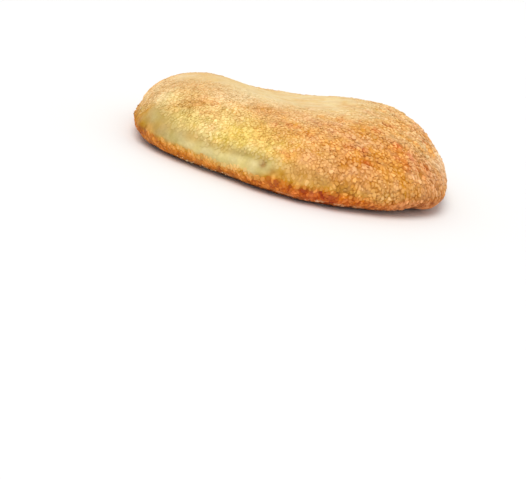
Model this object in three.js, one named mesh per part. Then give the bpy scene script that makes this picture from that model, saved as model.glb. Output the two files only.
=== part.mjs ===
// Semolina bread: a small hand-shaped flat loaf, baked on its flat base.
// Millimetres, +Z up. The loaf stands on z = 0 and its bounding box is centred
// on the origin in x and y; the longest side lies along X.
//
// The loaf is one solid. A round profile, flat base, tucked lower edge, widest
// line and domed crown, is turned on the axis, and every ring of it is then
// drawn out to the loaf's own uneven outline, edge height and crown height.

import * as THREE from 'three';

// ---------------------------------------------------------------- plan outline
const HALF_LENGTH = 76.6;         // half the length along X, before the lobing
const HALF_WIDTH = 68.8;          // half the width along Y, before the lobing
const SQUARENESS = 2.35;          // 2 is an ellipse, more is fuller at the corners
const LOBE_COS = [0, -0.0237, -0.025, 0.0087, 0.0168, -0.0135];         // waves once, twice, ... round the loaf
const LOBE_SIN = [0.0564, -0.0151, 0.0044, -0.0079, -0.0024, 0.004];
const BACK_CALM = 0.4;            // share of the finer waves that the back half keeps
const BOX_CENTRE = [-0.81, 2.9];  // centre of the lobed outline's box

// ------------------------------------------------------------------- side wall
// each value is a mean and its waves once, twice, ... round the loaf
const WIDEST_HEIGHT = { mean: 7.96, cos: [-0.32, -0.75, -0.71], sin: [-1.38, -0.06, -0.48] };
const TUCK = { mean: 11.1, cos: [0.04, 0.17, 0.16], sin: [-1.42, 0.11, -0.07] };   // how far the base draws in
const SHOULDER = { mean: 3.01, cos: [-0.12, 0.42], sin: [-0.11, 0.21] };           // fullness of the crown in plan
const CROWN_RISE = { mean: 1.85, cos: [0.13, -0.1], sin: [0.03, 0.1] };            // fullness of the crown in height

// ----------------------------------------------------------------------- crown
const CROWN_HEIGHT = 29.45;
const SWELLS = [
  // centre, spread along X and along Y, rise
  { name: 'left lobe', x: -43.1, y: 10.3, sx: 26.7, sy: 30.8, rise: 4.39 },
  { name: 'left end', x: -65.7, y: 0.0, sx: 12.3, sy: 22.6, rise: 2.58 },
  { name: 'saddle', x: -6.2, y: 26.7, sx: 26.7, sy: 26.7, rise: -7.34 },
  { name: 'right lobe', x: 45.2, y: 6.2, sx: 28.8, sy: 37.0, rise: 5.68 },
  { name: 'back swell', x: 22.6, y: 30.8, sx: 24.7, sy: 22.6, rise: 4.41 },
  { name: 'right front', x: 45.2, y: -30.8, sx: 24.7, sy: 18.5, rise: 0.4 },
  { name: 'right end', x: 64.0, y: 2.0, sx: 12.0, sy: 26.0, rise: 0.56 },
];

// ------------------------------------------------------- edge lift and lip
// the base edge curls up a little at one corner, and at the left end the dough
// above the base draws in behind a thin lip
const LIFT = { at: -33, spread: 18, height: 1.05, from: 0.78 };         // degrees, degrees, mm, share of the base
const LIP = { at: 185, spread: 21.5, depth: 1.05, centre: 0.11, width: 0.087 };  // degrees, degrees, mm, place up the crown

// ------------------------------------------------------------------ facets
const AROUND = 96;
const CROWN_RINGS = 24;
const TUCK_RINGS = 5;
const BASE_RINGS = [0, 0.4, 0.78, 1];

const waves = (spec, angle) => spec.cos.reduce(
  (sum, c, i) => sum + c * Math.cos((i + 1) * angle) + spec.sin[i] * Math.sin((i + 1) * angle),
  spec.mean,
);

// distance in degrees round the loaf, folded to 0..180
function degreesFrom(angle, centre) {
  const d = Math.abs(THREE.MathUtils.radToDeg(angle) - centre) % 360;
  return Math.min(d, 360 - d);
}

const bell = (d, spread) => Math.exp(-0.5 * (d / spread) ** 2);

function outline(angle) {
  const cx = Math.abs(Math.cos(angle)) / HALF_LENGTH;
  const sy = Math.abs(Math.sin(angle)) / HALF_WIDTH;
  const plain = (cx ** SQUARENESS + sy ** SQUARENESS) ** (-1 / SQUARENESS);
  const back = 0.5 * (1 + Math.tanh(3.5 * Math.sin(angle)));
  const finer = 1 - (1 - BACK_CALM) * back;
  const share = (i) => (i < 2 ? 1 : finer);
  return plain * waves(
    { mean: 1, cos: LOBE_COS.map((c, i) => c * share(i)), sin: LOBE_SIN.map((c, i) => c * share(i)) },
    angle,
  );
}

function crownHeight(x, y) {
  return SWELLS.reduce(
    (h, s) => h + s.rise * bell((x - s.x) / s.sx, 1) * bell((y - s.y) / s.sy, 1),
    CROWN_HEIGHT,
  );
}

// One point of the skin: zone is base, tuck or crown, and s runs outwards on
// the base, up the tucked edge, and from the widest line to the top.
function skin(zone, s, angle) {
  const r = outline(angle);
  const widest = waves(WIDEST_HEIGHT, angle);
  const tuck = waves(TUCK, angle);
  const lift = LIFT.height * bell(degreesFrom(angle, LIFT.at), LIFT.spread);
  if (zone === 'base') {
    const out = Math.max(0, (s - LIFT.from) / (1 - LIFT.from));
    return [(r - tuck) * s, lift * out * out];
  }
  if (zone === 'tuck') {
    const a = s * Math.PI / 2;
    return [r - tuck + tuck * Math.sin(a), widest * (1 - Math.cos(a)) + lift * Math.cos(a)];
  }
  const a = s * Math.PI / 2;
  const lip = LIP.depth * bell(degreesFrom(angle, LIP.at), LIP.spread) * bell(s - LIP.centre, LIP.width);
  const rad = r * Math.max(0, Math.cos(a)) ** (2 / waves(SHOULDER, angle)) - lip;
  const radius = s >= 1 ? 0 : Math.max(0, rad);
  const top = crownHeight(radius * Math.cos(angle), radius * Math.sin(angle));
  return [radius, widest + (top - widest) * Math.sin(a) ** (2 / waves(CROWN_RISE, angle))];
}

const rows = [
  ...BASE_RINGS.map((s) => ['base', s]),
  ...Array.from({ length: TUCK_RINGS }, (_, i) => ['tuck', (i + 1) / TUCK_RINGS]),
  ...Array.from({ length: CROWN_RINGS }, (_, i) => ['crown', (i + 1) / CROWN_RINGS]),
];

function loafGeometry() {
  const profile = rows.map(([zone, s]) => new THREE.Vector2(...skin(zone, s, 0)));
  const geometry = new THREE.LatheGeometry(profile, AROUND);
  geometry.rotateX(Math.PI / 2);
  const position = geometry.attributes.position;
  for (let i = 0; i < position.count; i += 1) {
    const [zone, s] = rows[i % rows.length];
    const turn = Math.floor(i / rows.length) % AROUND;
    const angle = (turn / AROUND) * 2 * Math.PI - Math.PI / 2;
    const [radius, z] = skin(zone, s, angle);
    position.setXYZ(
      i,
      radius * Math.cos(angle) - BOX_CENTRE[0],
      radius * Math.sin(angle) - BOX_CENTRE[1],
      z,
    );
  }
  geometry.computeVertexNormals();
  return geometry;
}

const crust = new THREE.MeshStandardMaterial({ color: 0xdca65c, roughness: 0.85, metalness: 0 });

const loaf = new THREE.Mesh(loafGeometry(), crust);
loaf.name = 'loaf';

const bread = new THREE.Group();
bread.add(loaf);

export default bread;
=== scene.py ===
"""Semolina bread: the baked look of a small hand-shaped loaf.

The skin is one closed mesh drawn from the loaf's own outline, side wall and crown, with its
hand-shaped dents, wrinkles and pits as real relief. Coarse semolina, in several kinds, is
pressed into the skin as small angular grains at true size. Lengths in the tables are in mm.
"""

import math

import bpy
import numpy as np
from mathutils import Matrix, Vector
from mathutils.kdtree import KDTree


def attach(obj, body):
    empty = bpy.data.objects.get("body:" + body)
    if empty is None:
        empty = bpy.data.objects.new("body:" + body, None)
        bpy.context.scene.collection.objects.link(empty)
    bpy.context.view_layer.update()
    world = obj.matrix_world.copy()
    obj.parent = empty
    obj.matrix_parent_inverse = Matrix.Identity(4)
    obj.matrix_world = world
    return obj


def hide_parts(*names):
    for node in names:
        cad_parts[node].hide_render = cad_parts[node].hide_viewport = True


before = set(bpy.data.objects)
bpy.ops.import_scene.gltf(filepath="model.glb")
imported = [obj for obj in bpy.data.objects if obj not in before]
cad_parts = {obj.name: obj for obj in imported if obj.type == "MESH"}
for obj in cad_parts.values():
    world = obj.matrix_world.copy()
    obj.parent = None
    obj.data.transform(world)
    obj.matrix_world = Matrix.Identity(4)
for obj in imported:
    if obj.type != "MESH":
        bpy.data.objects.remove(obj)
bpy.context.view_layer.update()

MM = 0.001

# ------------------------------------------------------------------ the loaf's shape
HALF_LENGTH, HALF_WIDTH, SQUARENESS = 76.6, 68.8, 2.35
LOBE_COS = [0, -0.0237, -0.025, 0.0087, 0.0168, -0.0135]
LOBE_SIN = [0.0564, -0.0151, 0.0044, -0.0079, -0.0024, 0.004]
BACK_CALM = 0.4
BOX_CENTRE = (-0.81, 2.9)
WIDEST_HEIGHT = (7.96, [-0.32, -0.75, -0.71], [-1.38, -0.06, -0.48])
TUCK = (11.1, [0.04, 0.17, 0.16], [-1.42, 0.11, -0.07])
SHOULDER = (3.01, [-0.12, 0.42], [-0.11, 0.21])
CROWN_RISE = (1.85, [0.13, -0.1], [0.03, 0.1])
CROWN_HEIGHT = 29.45
SWELLS = [
    # centre x, y, spread along x, y, rise
    (-43.1, 10.3, 26.7, 30.8, 4.39),
    (-65.7, 0.0, 12.3, 22.6, 2.58),
    (-6.2, 26.7, 26.7, 26.7, -7.34),
    (45.2, 6.2, 28.8, 37.0, 5.68),
    (22.6, 30.8, 24.7, 22.6, 4.41),
    (45.2, -30.8, 24.7, 18.5, 0.4),
    (64.0, 2.0, 12.0, 26.0, 0.56),
]
LIFT_AT, LIFT_SPREAD, LIFT_HEIGHT, LIFT_FROM = -33, 18, 1.05, 0.78
LIP_AT, LIP_SPREAD, LIP_DEPTH, LIP_CENTRE, LIP_WIDTH = 185, 21.5, 1.05, 0.11, 0.087


def waves(spec, angle):
    mean, cos, sin = spec
    out = np.full_like(angle, mean)
    for k, (c, s) in enumerate(zip(cos, sin), 1):
        out = out + c * np.cos(k * angle) + s * np.sin(k * angle)
    return out


def degrees_from(angle, centre):
    d = np.abs(np.degrees(angle) - centre) % 360
    return np.minimum(d, 360 - d)


def bell(d, spread):
    return np.exp(-0.5 * (d / spread) ** 2)


def ramp(x, low, high):
    """0 at low, 1 at high, smooth between."""
    t = np.clip((x - low) / (high - low), 0, 1)
    return t * t * (3 - 2 * t)


def outline(angle):
    n = SQUARENESS
    plain = (
        (np.abs(np.cos(angle)) / HALF_LENGTH) ** n
        + (np.abs(np.sin(angle)) / HALF_WIDTH) ** n
    ) ** (-1 / n)
    finer = 1 - (1 - BACK_CALM) * 0.5 * (1 + np.tanh(3.5 * np.sin(angle)))
    f = np.ones_like(angle)
    for k, (c, s) in enumerate(zip(LOBE_COS, LOBE_SIN), 1):
        w = c * np.cos(k * angle) + s * np.sin(k * angle)
        f = f + (w if k < 3 else w * finer)
    return plain * f


def crown_height(x, y):
    h = np.full_like(x, CROWN_HEIGHT)
    for cx, cy, sx, sy, rise in SWELLS:
        h = h + rise * bell(x - cx, sx) * bell(y - cy, sy)
    return h


def skin(s, angle):
    """Points of the skin in mm, with the box centred. s runs from -2 at the middle of the base
    to -1 at its edge, 0 on the widest line and 1 at the top."""
    r, widest, tuck = outline(angle), waves(WIDEST_HEIGHT, angle), waves(TUCK, angle)
    lift = LIFT_HEIGHT * bell(degrees_from(angle, LIFT_AT), LIFT_SPREAD)
    # base
    share = np.clip(s + 2, 0, 1)
    out = np.maximum(0, (share - LIFT_FROM) / (1 - LIFT_FROM))
    base_r, base_z = (r - tuck) * share, lift * out * out
    # tucked edge
    a = np.clip(s + 1, 0, 1) * np.pi / 2
    tuck_r = r - tuck + tuck * np.sin(a)
    tuck_z = widest * (1 - np.cos(a)) + lift * np.cos(a)
    # crown
    a = np.clip(s, 0, 1) * np.pi / 2
    lip = LIP_DEPTH * bell(degrees_from(angle, LIP_AT), LIP_SPREAD)
    lip = lip * bell(s - LIP_CENTRE, LIP_WIDTH)
    crown_r = r * np.maximum(np.cos(a), 0) ** (2 / waves(SHOULDER, angle)) - lip
    crown_r = np.where(s >= 1, 0, np.maximum(crown_r, 0))
    top = crown_height(crown_r * np.cos(angle), crown_r * np.sin(angle))
    crown_z = widest + (top - widest) * np.maximum(np.sin(a), 1e-12) ** (
        2 / waves(CROWN_RISE, angle)
    )
    radius = np.where(s < -1, base_r, np.where(s <= 0, tuck_r, crown_r))
    z = np.where(s < -1, base_z, np.where(s <= 0, tuck_z, crown_z))
    return np.stack(
        [
            radius * np.cos(angle) - BOX_CENTRE[0],
            radius * np.sin(angle) - BOX_CENTRE[1],
            z,
        ],
        -1,
    )


# --------------------------------------------------------------------------- noise
def lattice(cell, seed):
    h = (
        cell[..., 0] * 73856093
        ^ cell[..., 1] * 19349663
        ^ cell[..., 2] * 83492791
        ^ (seed * 2654435 + 97)
    ) & 0xFFFFFFFF
    h = ((h ^ (h >> 15)) * 2246822519) & 0xFFFFFFFF
    h = ((h ^ (h >> 13)) * 3266489917) & 0xFFFFFFFF
    return ((h ^ (h >> 16)) & 0xFFFFFF) / float(0xFFFFFF)


def noise(p, size, seed):
    """Smooth noise in -1..1 with features of that size in mm."""
    q = p / size
    cell = np.floor(q).astype(np.int64)
    f = q - cell
    f = f * f * f * (f * (f * 6 - 15) + 10)
    total = np.zeros(len(p))
    for dx in (0, 1):
        for dy in (0, 1):
            for dz in (0, 1):
                w = (
                    (f[:, 0] if dx else 1 - f[:, 0])
                    * (f[:, 1] if dy else 1 - f[:, 1])
                    * (f[:, 2] if dz else 1 - f[:, 2])
                )
                total += w * lattice(cell + np.array([dx, dy, dz]), seed)
    return total * 2 - 1


def layered(p, size, seed, octaves=3, gain=0.5):
    total, amount, weight = np.zeros(len(p)), 0.0, 1.0
    for k in range(octaves):
        total += weight * noise(p + 17.3 * k, size / 2**k, seed + 11 * k)
        amount += weight
        weight *= gain
    return total / amount


# ------------------------------------------------------------------- the skin's mesh
CROWN_RINGS = 152
TUCK_RINGS = 18


def ring_parameters():
    """s of each ring from the top down to the widest line, evenly spaced along the skin."""
    s = np.linspace(1, 0, 2001)
    lengths = 0
    for angle in np.radians(np.arange(0, 360, 15)):
        p = skin(s, np.full_like(s, angle))
        lengths = lengths + np.r_[
            0, np.cumsum(np.linalg.norm(np.diff(p, axis=0), axis=1))
        ]
    return np.interp(np.linspace(0, lengths[-1], CROWN_RINGS + 1), lengths, s)


def stitch(upper, lower):
    """Triangles between two closed rings of vertex numbers, which both start at angle 0 and
    turn the same way. Seen from outside, upper is above lower."""
    na, nb = len(upper), len(lower)
    if na == nb:
        a, b = np.array(upper), np.array(lower)
        a2, b2 = np.roll(a, -1), np.roll(b, -1)
        return np.vstack([np.stack([a, b, b2], 1), np.stack([a, b2, a2], 1)]).tolist()
    faces, i, j = [], 0, 0
    while i < na or j < nb:
        if j < nb and (i == na or (j + 1) / nb <= (i + 1) / na):
            faces.append([upper[i % na], lower[j % nb], lower[(j + 1) % nb]])
            j += 1
        else:
            faces.append([upper[i % na], lower[j % nb], upper[(i + 1) % na]])
            i += 1
    return faces


def skin_grid():
    """Vertex parameters and triangles of the closed skin."""
    s_list, a_list, rings = [1.0], [0.0], [[0]]
    params = ring_parameters()

    def add(s, count):
        start = len(s_list)
        s_list.extend([s] * count)
        a_list.extend((np.arange(count) / count * 2 * np.pi).tolist())
        rings.append(list(range(start, start + count)))

    for k in range(1, CROWN_RINGS + 1):
        add(float(params[k]), 6 * k)
    around = 6 * CROWN_RINGS
    for k in range(1, TUCK_RINGS + 1):
        add(-k / TUCK_RINGS, around)
    for share, count in zip(
        [0.985, 0.965, 0.94, 0.91, 0.88, 0.845, 0.81, 0.77, 0.73, 0.68, 0.63, 0.58, 0.52, 0.46, 0.4, 0.34, 0.28, 0.22, 0.16, 0.1, 0.05],
        [552, 414, 414, 330, 330, 276, 276, 240, 240, 210, 192, 180, 160, 144, 120, 108, 90, 72, 48, 30, 14],
    ):
        add(share - 2, count)
    faces = []
    first = rings[1]
    for i in range(len(first)):
        faces.append([0, first[i], first[(i + 1) % len(first)]])
    for upper, lower in zip(rings[1:], rings[2:]):
        faces.extend(stitch(upper, lower))
    last = rings[-1]
    s_list.append(-2.0)
    a_list.append(0.0)
    end = len(s_list) - 1
    for i in range(len(last)):
        faces.append([last[i], end, last[(i + 1) % len(last)]])
    return np.array(s_list), np.array(a_list), np.array(faces, np.int32)


def vertex_normals(p, faces):
    n = np.cross(p[faces[:, 1]] - p[faces[:, 0]], p[faces[:, 2]] - p[faces[:, 0]])
    out = np.zeros_like(p)
    for k in range(3):
        for axis in range(3):
            out[:, axis] += np.bincount(faces[:, k], n[:, axis], len(p))
    return out / np.maximum(np.linalg.norm(out, axis=1), 1e-12)[:, None]


def gentle(p):
    """1 on the left of the front, where the grains lie flatter and closer, down to 0 on the
    right."""
    return ramp(-p[:, 0], -30, 10) * ramp(-p[:, 1], 5, 30)


# Small marks of the shaping and the bake: centre, radius and depth in mm, below zero for a bump
MARKS = [
    (-9.0, -68.5, 12.7, 1.5, 0.8),      # pit low on the front
    (-5.6, -70.2, 11.0, 2.6, 0.4),
    (-46.5, -37.5, 24.6, 3.0, 0.35),    # flaked spots on the left lobe
    (-51.0, -37.5, 23.2, 2.6, 0.3),
    (14.0, -71.5, 10.8, 6.0, 0.6),      # soft hollow where the pale side ends
    (5.0, -71.0, 11.5, 4.0, 0.3),
    (33.0, -51.0, 23.6, 3.2, 0.4),      # browned dimples on the right lobe
    (49.0, -35.5, 26.2, 3.0, 0.4),
    (55.0, -38.0, 23.0, 3.6, 0.4),
    (-66.0, -27.0, 14.6, 4.6, 0.8),     # hollow behind the lip at the left end
    (-63.5, -35.5, 13.8, 4.6, 0.5),
    (-25.5, 37.0, 24.0, 13.0, 1.1),     # the saddle drops sharply behind the left lobe
    (30.0, 28.5, 32.3, 17.0, 0.9),      # flatter back of the right lobe
    (67.5, 12.0, 21.0, 11.0, 0.9),      # flatter right end
    (66.5, -33.5, 3.0, 8.0, -0.9),      # the base edge bulges at the right corner
    (57.5, -44.0, 2.4, 5.5, 0.6),       # and draws in beside it
    (-6.0, 58.0, 17.0, 6.0, 0.6),       # dents on the back
    (38.0, 50.0, 22.5, 4.0, 0.6),
    (61.0, 28.0, 20.0, 3.4, 0.5),
    (-62.0, 26.0, 18.0, 4.2, 0.6),
]
# Fine cracks in the crust: points of each line, in mm
CRACKS = [
    [(-51.2, -38.0, 22.9), (-49.6, -39.6, 22.6), (-48.2, -39.8, 23.0), (-46.4, -41.2, 23.0), (-46.0, -43.3, 22.1)],
    [(-48.0, -30.6, 26.6), (-47.6, -33.0, 26.0), (-46.6, -34.6, 25.7), (-46.8, -37.4, 24.6)],
    [(-45.2, -34.6, 26.1), (-43.9, -32.6, 26.9), (-43.0, -32.4, 27.1)],
    [(-44.6, -37.4, 25.2), (-42.6, -36.8, 25.8), (-41.6, -37.6, 25.7)],
    [(-51.2, -35.4, 24.2), (-50.1, -33.6, 25.1)],
    [(-41.0, -40.4, 24.8), (-40.4, -38.8, 25.5)],
    [(31.0, -54.5, 22.6), (31.8, -52.6, 23.4), (30.6, -50.9, 24.2)],
    [(57.0, -38.0, 21.9), (58.6, -35.8, 22.0)],
    [(20.0, 46.0, 25.6), (22.4, 47.6, 25.2), (25.0, 47.4, 25.4), (26.8, 49.0, 24.8)],
]
def combed(p):
    """How far the grains lie up and down the slope: most on the left of the front, not at all
    on the back."""
    return ramp(-p[:, 1], -15, 15) * (0.55 + 0.45 * ramp(-p[:, 0], -25, 15))


GRAIN_ROOM = 0.42  # the skin lies this far inside the loaf's outline, for the grains


def crack_distance(p):
    """Distance in mm from each point to the nearest crack."""
    best = np.full(len(p), 99.0)
    for line in CRACKS:
        for a, b in zip(line, line[1:]):
            a, b = np.array(a), np.array(b)
            t = np.clip((p - a) @ (b - a) / ((b - a) @ (b - a)), 0, 1)
            best = np.minimum(best, np.linalg.norm(p - a - t[:, None] * (b - a), axis=1))
    return best


def pebbles(p, size, seed, crease):
    """Rounded lumps of that size: 1 on a lump, 0 in the creases between lumps."""
    q = p / size
    cell = np.floor(q).astype(np.int64)
    first = np.full(len(p), 9.0)
    second = np.full(len(p), 9.0)
    for dx in (-1, 0, 1):
        for dy in (-1, 0, 1):
            for dz in (-1, 0, 1):
                c = cell + np.array([dx, dy, dz])
                spot = np.stack([lattice(c, seed), lattice(c, seed + 1), lattice(c, seed + 2)], 1)
                d = np.linalg.norm(q - c - spot, axis=1)
                second = np.minimum(second, np.maximum(first, d))
                first = np.minimum(first, d)
    return np.clip((second - first) / crease, 0, 1)


def creases(p):
    """How deep each point lies in the narrow and in the wide creases between the clumps of
    semolina, 0 to about 1. The creases come and go over the crust."""
    q = p * [1.2, 0.85, 0.85] + 0.35 * np.stack([noise(p, 1.6, k) for k in (81, 82, 83)], 1)
    uneven = np.clip(0.85 + 0.3 * noise(p, 8.0, 84) + 0.4 * noise(p, 3.2, 85), 0.1, 1.4)
    narrow = 1 - pebbles(q, 2.0, 17, 0.36)
    wide = 1 - pebbles(q, 3.4, 27, 0.3)
    return uneven * narrow, uneven * wide


# ------------------------------------------------------------------ zones of the crust
def band_top(angle):
    """How far up the crown the pale, smooth side reaches, as s."""
    d = np.degrees(angle) % 360
    knots = [0, 25, 50, 80, 120, 150, 172, 188, 200, 208, 216, 224, 232, 240, 248, 256, 264, 271, 278, 284, 289, 360]
    tops = [0.0, 0.02, 0.08, 0.13, 0.15, 0.1, 0.04, 0.04, 0.1, 0.15, 0.17, 0.15, 0.14, 0.13, 0.13, 0.13, 0.12, 0.15, 0.12, 0.07, 0.0, 0.0]
    return np.interp(d, knots, tops)


def rim_top(angle):
    """How far up the crown the browned rim fades out, as s."""
    d = np.degrees(angle) % 360
    knots = [0, 60, 120, 170, 188, 200, 208, 216, 224, 232, 240, 248, 256, 261, 265, 271, 274, 278, 284, 290, 297, 304, 312, 318, 330, 345, 360]
    tops = [0.1, 0.06, 0.04, 0.08, 0.16, 0.18, 0.16, 0.095, 0.025, -0.015, -0.035, -0.09, -0.12, -0.03, 0.13, 0.13, 0.09, 0.02, 0.05, 0.14, 0.06, -0.06, -0.02, 0.06, 0.12, 0.13, 0.1]
    return np.interp(d, knots, tops)


def zones(p, s, angle):
    """Shares, 0 to 1, of the kinds of crust at each point."""
    wobble = 0.05 * noise(p, 9.0, 41) + 0.04 * noise(p, 3.4, 43)
    v = s + wobble
    top = band_top(angle)
    here = ramp(top, 0.0, 0.08)
    z = {}
    brown = rim_top(angle)
    z["ochre"] = ramp(v, brown + 0.05, brown - 0.17)
    z["rim"] = ramp(v, brown - 0.1, brown - 0.36)
    # deep red-brown low on the right front: partly browning, partly painted shade under the overhang
    z["deep"] = np.clip(
        ramp(v, -0.05, -0.36) * (bell(degrees_from(angle, 285), 17) + 0.2 * noise(p, 17.0, 47)), 0, 1
    )
    # darker towards the bottom edge: partly burnt crust, partly painted shade
    z["burnt"] = ramp(v, -0.5, -0.85)
    z["pale"] = ramp(v, top + 0.18, top - 0.05) * ramp(v, -0.2, -0.05) * here
    z["quiet"] = ramp(v, top + 0.17, top - 0.06) * ramp(v, -0.24, -0.05) * here
    # on the right the smooth side is tan instead of pale
    turn = np.degrees(angle) % 360
    z["tan"] = z["quiet"] * ramp(turn, 263, 273)
    z["pale"] = z["pale"] * ramp(turn, 276, 264)
    behind = 0.14 * ramp(np.sin(angle), 0.0, 0.5)
    z["far"] = np.exp(
        -0.5 * (((p[:, 0] + 3) / 35) ** 4 + ((p[:, 1] - 15) / 36) ** 4)
    ) * ramp(s + behind + 0.1 * noise(p, 7.0, 45), 0.5, 0.78)
    lobe = ((p[:, 0] + 52) / 22) ** 2 + ((p[:, 1] - 4) / 22) ** 2
    z["lobe"] = np.exp(-0.7 * lobe**1.5) * ramp(s, 0.3, 0.55)
    across = np.hypot(p[:, 0] + 62, p[:, 1] + 37.5) / 12.5
    z["olive"] = np.exp(-((across**2 + ((p[:, 2] - 13.5) / 6.5) ** 2) ** 2))
    end = ramp(degrees_from(angle, 186), 26, 12)
    z["fine_rim"] = z["rim"] * ramp(turn, 262, 250) * ramp(turn, 185, 200)
    z["lip"] = end * ramp(v, 0.16, 0.02) * ramp(v, -0.3, -0.1)
    z["base"] = ramp(s, -0.85, -1.0)
    return z


def smoothness(z):
    """0 where the crust is coarse, 1 where it is smooth and fine."""
    rough = (
        (1 - 0.88 * z["quiet"] + 0.34 * z["tan"])
        * (1 - 0.88 * z["far"])
        * (1 - 0.8 * z["lobe"])
        * (1 - 0.88 * z["olive"] ** 2)
        * (1 - 0.3 * np.clip(z["rim"] + z["lip"], 0, 1))
        * (1 - 0.3 * z["fine_rim"])
    )
    return np.clip(1 - rough, 0, 1)


def relief(p, s, angle):
    """How far the skin moves out along its normal, in mm."""
    soft = smoothness(zones(p, s, angle))
    narrow, wide = creases(p)
    d = 0.26 * noise(p, 24.0, 3) + 0.2 * noise(p, 11.0, 5) + 0.13 * noise(p, 5.2, 7)
    rough = (1 - 0.8 * soft) * (1 - 0.2 * gentle(p))
    d += rough * (0.1 + 0.08 * noise(p, 2.6, 9) - 0.2 * narrow - 0.26 * wide)
    # the upper crust is lumpier
    upper = (1 - soft) * ramp(s, 0.3, 0.6)
    d += upper * (0.26 * noise(p, 3.4, 11) + 0.12 * noise(p, 1.9, 13))
    # shallow folds that run up the tucked edge and stop on the side
    fold = noise(
        np.stack([np.degrees(angle) * 1.25, s * 2.2, np.zeros_like(s)], 1), 6.0, 21
    )
    d += 0.3 * fold * bell(s + 0.3, 0.3)
    # long soft smears along the pale side
    smear = noise(
        np.stack([np.degrees(angle) * 0.55, s * 26.0, np.zeros_like(s)], 1), 3.0, 23
    )
    d += 0.14 * smear * zones(p, s, angle)["pale"]
    for x, y, z, radius, depth in MARKS:
        away = np.linalg.norm(p - np.array([x, y, z]), axis=1)
        d -= depth * bell(away, radius * 0.6)
    return d - 0.5 * bell(crack_distance(p), 0.5)


grid_s, grid_a, grid_faces = skin_grid()
skin_p = skin(grid_s, grid_a)
normals = vertex_normals(skin_p, grid_faces)
on_base = ramp(grid_s, -0.72, -1.0)
moved = relief(skin_p, grid_s, grid_a) * (1 - on_base) - GRAIN_ROOM * (1 - on_base)
skin_p = skin_p + normals * moved[:, None]
# the underside is slightly blistered, and never lower than the surface it stands on
blister = 0.16 + 0.16 * noise(skin_p, 7.0, 31) + 0.1 * noise(skin_p, 2.4, 33)
skin_p[:, 2] += on_base * np.maximum(blister, 0) * ramp(grid_s, -2.0, -1.9)
skin_p[:, 2] = np.maximum(skin_p[:, 2], 0.02)
normals = vertex_normals(skin_p, grid_faces)

# ------------------------------------------------------------------------- colours
def linear(r, g, b):
    """A colour as seen on a screen, 0..255, as a linear colour."""
    c = np.array([r, g, b], float) / 255
    return np.where(c <= 0.04045, c / 12.92, ((c + 0.055) / 1.055) ** 2.4)


CREAM = linear(250, 228, 180)
CHALK = linear(250, 225, 168)
PEACH = linear(243, 209, 147)
LEMON = linear(243, 219, 138)
HONEY = linear(236, 186, 110)
AMBER = linear(230, 166, 86)
RUSSET = linear(218, 130, 56)
GOLD = linear(238, 168, 70)
ROSE = linear(235, 183, 140)
BLUSH = linear(236, 180, 124)
BUTTER = linear(245, 219, 118)
STRAW = linear(223, 204, 134)
WHEAT = linear(246, 212, 142)
MOSS = linear(208, 192, 126)
OLIVE = linear(202, 163, 84)
TAN = linear(226, 174, 97)
OCHRE = linear(228, 169, 70)
RIM = linear(236, 145, 34)
UMBER = linear(222, 142, 78)
RUST = linear(214, 88, 10)
BURNT_AND_SHADE = linear(166, 88, 34)
BASE = linear(196, 130, 66)
PIT_SHADE = linear(164, 100, 40)

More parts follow.
